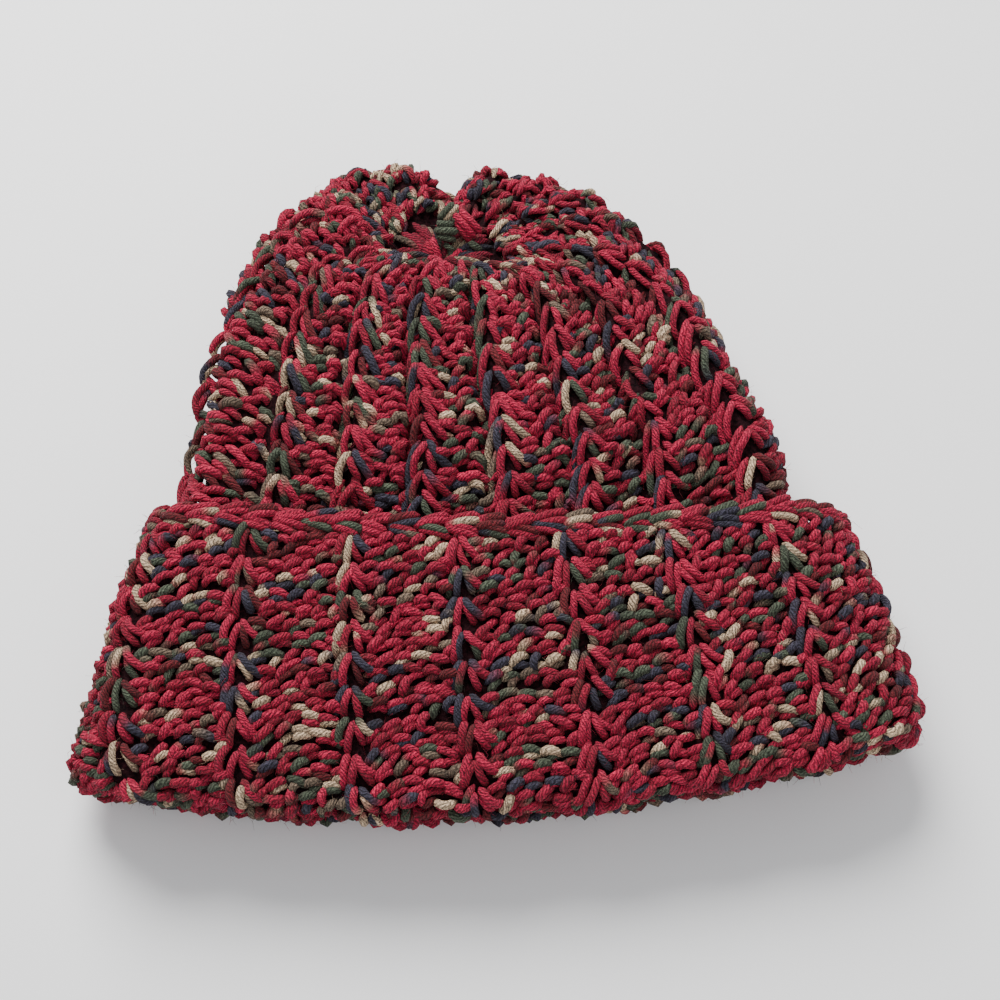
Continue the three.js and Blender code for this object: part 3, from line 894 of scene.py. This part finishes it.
def crown_strands(places, motif, seed, points, spread=False):
    """Strands of the crown's outer face."""
    return strand_paths(crown_face, places, crown_rows, motif, seed, points, CROWN_DESIGN, spread)


def cuff_strands(places, motif, seed, points, spread=False):
    """Strands of the cuff's outer face."""
    return strand_paths(
        cuff_face, places, cuff_rows, motif, seed, points, CUFF_DESIGN, spread, CUFF_STAGGER
    )


def inside_strands(motif, seed, points, spread=False):
    """Strands of the crown's inner face, just inside the brim."""
    places = cuff_upper + cuff_lower
    return strand_paths(crown_inside, places, inside_rows, motif, seed, points, BRIM_DESIGN, spread)


OPEN_EDGE = (-20, 58)     # the stretch of the crown, by y, whose left edge the loops leave open
EDGE_WIDTH = 3.0          # and how wide it is kept clear underneath


def clear_of_edge(paths):
    """Leaves out the strands that would lie under the open loops of the crown's left edge."""
    points = paths[0]
    x, y = points[..., 0].mean(1), points[..., 1].mean(1)
    reach = np.interp(y, crown_face.points[..., 1].mean(1), crown_face.points[..., 0].min(1))
    beside = (y > OPEN_EDGE[0]) & (y < OPEN_EDGE[1])
    kept = ~(beside & (x < reach + EDGE_WIDTH))
    return tuple(values[kept] for values in paths)


GATHER_STRANDS = 52
GATHER_START = 0.8        # how far from the end of the fabric the drawn strands start, in stitches
GATHER_PAINTED_SHADE = 0.55       # painted shade: how far the drawn strands' colour is darkened, down in the dimple
GATHER_OUT = 1.5          # how far out the middle of the gather stands
GATHER_OPEN = 0.12        # how much of the way to the middle the strands leave open
GATHER_RISE = 2.2
GATHER_YARN = (31000, 37, 12)   # where on the yarn they start, the step to the next, and their length


def gather_paths(seed, points=7):
    """Strands drawn together from the last stitches into the middle of the gather, darkened with painted
    shade.
    """
    rng = np.random.default_rng(seed)
    rib = (np.arange(GATHER_STRANDS) + rng.normal(0, 0.2, GATHER_STRANDS)) * RIBS / GATHER_STRANDS
    stitch = crown_face.stitches - GATHER_START + rng.normal(0, 0.2, GATHER_STRANDS)
    flat = np.zeros(GATHER_STRANDS)
    start = crown_face.place(rib, stitch, flat, flat, flat + 0.2)
    lean = math.radians(crown_sections["tilt"][-1])
    up = np.array([0, math.cos(lean), math.sin(lean)])
    middle = crown_face.points[-1].mean(0) + up * GATHER_OUT
    stop = middle + (start - middle) * GATHER_OPEN + rng.normal(0, 0.6, start.shape)
    t = np.linspace(0, 1, points)[None, :, None]
    path = start[:, None] + (stop - start)[:, None] * t + up * (GATHER_RISE * np.sin(np.pi * t))
    girth = np.tile(tapered(t[..., 0]), (GATHER_STRANDS, 1))
    first, step, length = GATHER_YARN
    run = np.arange(GATHER_STRANDS)[:, None] * step + t[..., 0] * length + first
    return path, girth, yarns[0].colour(run) * GATHER_PAINTED_SHADE, run


# The closing knot: its strands and those beside it, from u0, v0 to u1, v1 in millimetres right and up the
# gather's far wall from the knot's middle. depth is how far out the ends stand, lift how far the strand
# arches over them, and dye is its row in the table of dyes.
KNOT_MIDDLE = (-16.5, 78.5, 39.0)
KNOT_UP = (0, 0.85, 0.53)
KNOT_OUT = (0, -0.53, 0.85)
KNOT_LENGTH = 8           # yarn in one strand of the knot
knot_strands = table(("u0", "v0", "u1", "v1", "depth", "lift", "girth", "dye"), [
    (-2.9, 7.0, 2.4, 6.5, 0.2, 1.8, 0.9, 5),
    (-3.6, 4.6, 3.9, 4.3, 0.8, 2.2, 1.05, 5),
    (-3.0, 2.9, 3.3, 1.5, 0.6, 1.8, 0.9, 5),
    (-0.4, 0.2, 2.6, -1.9, 0.2, 1.4, 0.8, 5),
    (1.2, -1.2, 2.4, -4.4, -0.2, 1.2, 0.8, 5),
    (-2.4, 8.2, 2.6, 13.6, -0.4, 1.4, 0.9, 5),
    (-0.8, 7.8, 4.0, 12.8, -0.8, 1.4, 0.9, 3),
    (-4.4, 2.4, -1.6, -6.4, -0.4, 1.8, 1.0, 0),
    (-6.4, 1.2, -3.6, -5.8, -1.0, 1.6, 1.0, 1),
    (5.4, -1.4, -0.8, -6.8, -0.6, 1.8, 1.0, 0),
    (2.4, 10.4, 9.6, 2.4, -0.6, 2.4, 1.0, 0),
    (4.6, 11.4, 11.6, 3.8, -0.8, 2.4, 1.0, 0),
    (3.2, 8.0, 8.2, 0.8, -0.8, 1.8, 1.0, 1),
    (7.6, 1.0, 11.4, -1.8, -0.8, 1.8, 0.95, 5),
])


def knot_paths(seed, points=9):
    """The strands of the closing knot, laid on the gather's far wall."""
    rng = np.random.default_rng(seed)
    t = np.linspace(0, 1, points)[None, :]

    def between(first, last):
        return knot_strands[first][:, None] * (1 - t) + knot_strands[last][:, None] * t

    u, v = between("u0", "u1"), between("v0", "v1")
    out = knot_strands["depth"][:, None] + knot_strands["lift"][:, None] * arch(t)
    path = np.array(KNOT_MIDDLE) + u[..., None] * np.array((1, 0, 0))
    path = path + v[..., None] * np.array(KNOT_UP) + out[..., None] * np.array(KNOT_OUT)
    girth = tapered(t) * knot_strands["girth"][:, None]
    dye = knot_strands["dye"].astype(int)
    colour = np.stack([dyes["red"][dye], dyes["green"][dye], dyes["blue"][dye]], 1)
    colour = np.repeat(colour[:, None], points, axis=1) * rng.uniform(1.0, 1.25, (len(dye), 1, 1))
    run = rng.uniform(0, LAY_LENGTH, (len(dye), 1)) + t * KNOT_LENGTH
    return path, girth, colour, run


RIM_RIBS = (8.0, 15.8)    # the ribs that turn over at the far rim
RIM_STEP = 0.36           # from one pair of strands along the rim to the next, in ribs
RIM_REACH = 5.2           # half the length of such a strand
RIM_APART = 1.15          # half the way from one strand of a pair to the other
RIM_GIRTH = 1.02
RIM_YARN = (41000, 31)    # where on the yarn they start, and the step to the next pair


def rim_paths(seed, points=8):
    """Pairs of strands along the crown's far rim, where the fabric turns over into the gather."""
    rng = np.random.default_rng(seed)
    rib = np.repeat(np.arange(*RIM_RIBS, RIM_STEP), 2)
    count = len(rib)
    column = (rib * PER_RIB).astype(int)
    stitch = crown_face.points[:, column, 1].argmax(0) / PER_STITCH
    side = np.tile([-1.0, 1.0], count // 2)[:, None]
    t = np.linspace(-1, 1, points)[None, :]
    u = t * RIM_REACH * rng.uniform(0.8, 1.15, (count, 1))
    v = side * RIM_APART + t * rng.normal(0, 1.0, (count, 1)) + rng.normal(0, 0.3, (count, 1))
    h = rng.uniform(0.6, 1.4, (count, 1)) * (1 - t**2) - 0.8 - 1.2 * np.abs(t) ** 3
    spread = (np.broadcast_to(rib[:, None], u.shape), np.broadcast_to(stitch[:, None], u.shape))
    path = crown_face.place(*spread, u, v, h)
    girth = np.clip(3.0 * (1 - np.abs(t)) + 0.3, 0, 1) * rng.normal(RIM_GIRTH, GIRTH_STRAY, (count, 1))
    first, step = RIM_YARN
    run = np.repeat(np.arange(count // 2), 2)[:, None] * step + t * RIM_REACH + first
    colour = np.where(side[..., None] < 0, yarns[0].colour(run), yarns[1].colour(run))
    return path, girth, colour, run + rng.uniform(0, LAY_LENGTH, (count, 1))


# The pieces of yarn: name, paths, the solid that they stand for and the sides of a strand. The last
# numbers of a call for paths are its seed and how many points a strand has.
yarn_pieces = (
    ("crown_columns_front", crown_strands(crown_upper[1:], crown_columns, 21, 9), "crown", 7),
    ("crown_edge_column", crown_strands(crown_upper[:1], crown_edge_columns, 33, 9), "crown", 7),
    ("crown_posts_front", crown_strands(crown_upper[1:], crown_posts, 22, 6, True), "crown", 6),
    ("crown_edge_posts", crown_strands(crown_upper[:1], crown_edge_posts, 37, 6, True), "crown", 6),
    ("crown_columns_back", clear_of_edge(crown_strands(crown_lower, crown_columns, 23, 7)), "crown", 6),
    ("crown_posts_back", clear_of_edge(crown_strands(crown_lower, crown_posts, 24, 5, True)), "crown", 5),
    ("crown_gather", gather_paths(34), "crown", 6),
    ("crown_rim", rim_paths(36), "crown", 7),
    ("cuff_columns_front", cuff_strands(cuff_upper, cuff_columns, 25, 9), "cuff", 7),
    ("cuff_posts_front", cuff_strands(cuff_upper, cuff_posts, 26, 6, True), "cuff", 6),
    ("cuff_columns_back", cuff_strands(cuff_lower, cuff_columns, 27, 7), "cuff", 6),
    ("cuff_posts_back", cuff_strands(cuff_lower, cuff_posts, 28, 5, True), "cuff", 5),
    ("brim_inside_columns", inside_strands(cuff_columns, 29, 6), "crown", 6),
    ("brim_inside_posts", inside_strands(cuff_posts, 30, 5, True), "crown", 5),
    ("cuff_edge_plait", plait_paths(cuff_face, 26), "cuff_edging", 7),
    ("closing_knot", knot_paths(35), "gather_knot", 7),
)
for name, paths, node, sides in yarn_pieces:
    rest_on_surface(paths[0], paths[1], YARN)
    piece = strands(name, paths, yarn_looks[node], sides=sides)
    add(piece, node)
outside = [paths for name, paths, node, sides in yarn_pieces if not name.startswith("brim")]
fibres = stray_fibres(outside, STRAY_FIBRES, 31)
rest_on_surface(fibres[0], fibres[1], FIBRE)
loose = strands("stray_fibres", fibres, yarn_looks["crown"], radius=FIBRE, sides=3)
add(loose, "crown")


# Floor, light and camera.
FLOOR = 6.0               # half the floor's width
HAT_MIDDLE = (0.00115, -0.00744, 0.025)
CAMERA_DISTANCE = 0.65
CAMERA_ELEVATION = math.radians(63)
CAMERA_LENS = 74.88

floor_mesh = bpy.data.meshes.new("floor")
corners = [(-FLOOR, -FLOOR, 0), (FLOOR, -FLOOR, 0), (FLOOR, FLOOR, 0), (-FLOOR, FLOOR, 0)]
floor_mesh.from_pydata(corners, [], [(0, 1, 2, 3)])
pale_floor = new_material("pale floor", {"Base Color": (0.97, 0.97, 0.97, 1), "Roughness": 0.55})
floor_mesh.materials.append(pale_floor[0])
floor = placed("floor", floor_mesh)


def aim(obj):
    """Turns a lamp or the camera towards the hat."""
    direction = Vector(HAT_MIDDLE) - obj.location
    obj.rotation_euler = direction.to_track_quat("-Z", "Y").to_euler()


def area_light(name, place, size, power, colour):
    """A round lamp that shines on the hat."""
    data = bpy.data.lights.new(name, "AREA")
    data.shape = "DISK"
    data.size = size
    data.energy = power
    data.color = colour
    lamp = placed(name, data)
    lamp.location = place
    aim(lamp)


area_light("window", (-0.3, 0.75, 0.95), 0.9, 31.0, (1.0, 0.99, 0.98))
area_light("fill", (0.4, -0.7, 0.9), 1.4, 5.0, (0.97, 0.98, 1.0))
world = bpy.data.worlds.new("studio")
world.use_nodes = True
fill(world.node_tree.nodes["Background"], {"Color": (0.95, 0.97, 1.0, 1), "Strength": 0.5})
bpy.context.scene.world = world

camera_data = bpy.data.cameras.new("camera")
camera_data.sensor_width = 36
camera_data.sensor_fit = "HORIZONTAL"
camera_data.lens = CAMERA_LENS
camera_data.clip_start = 0.01
camera = placed("camera", camera_data)
camera.location = (
    HAT_MIDDLE[0],
    HAT_MIDDLE[1] - CAMERA_DISTANCE * math.cos(CAMERA_ELEVATION),
    HAT_MIDDLE[2] + CAMERA_DISTANCE * math.sin(CAMERA_ELEVATION),
)
aim(camera)
bpy.context.scene.camera = camera
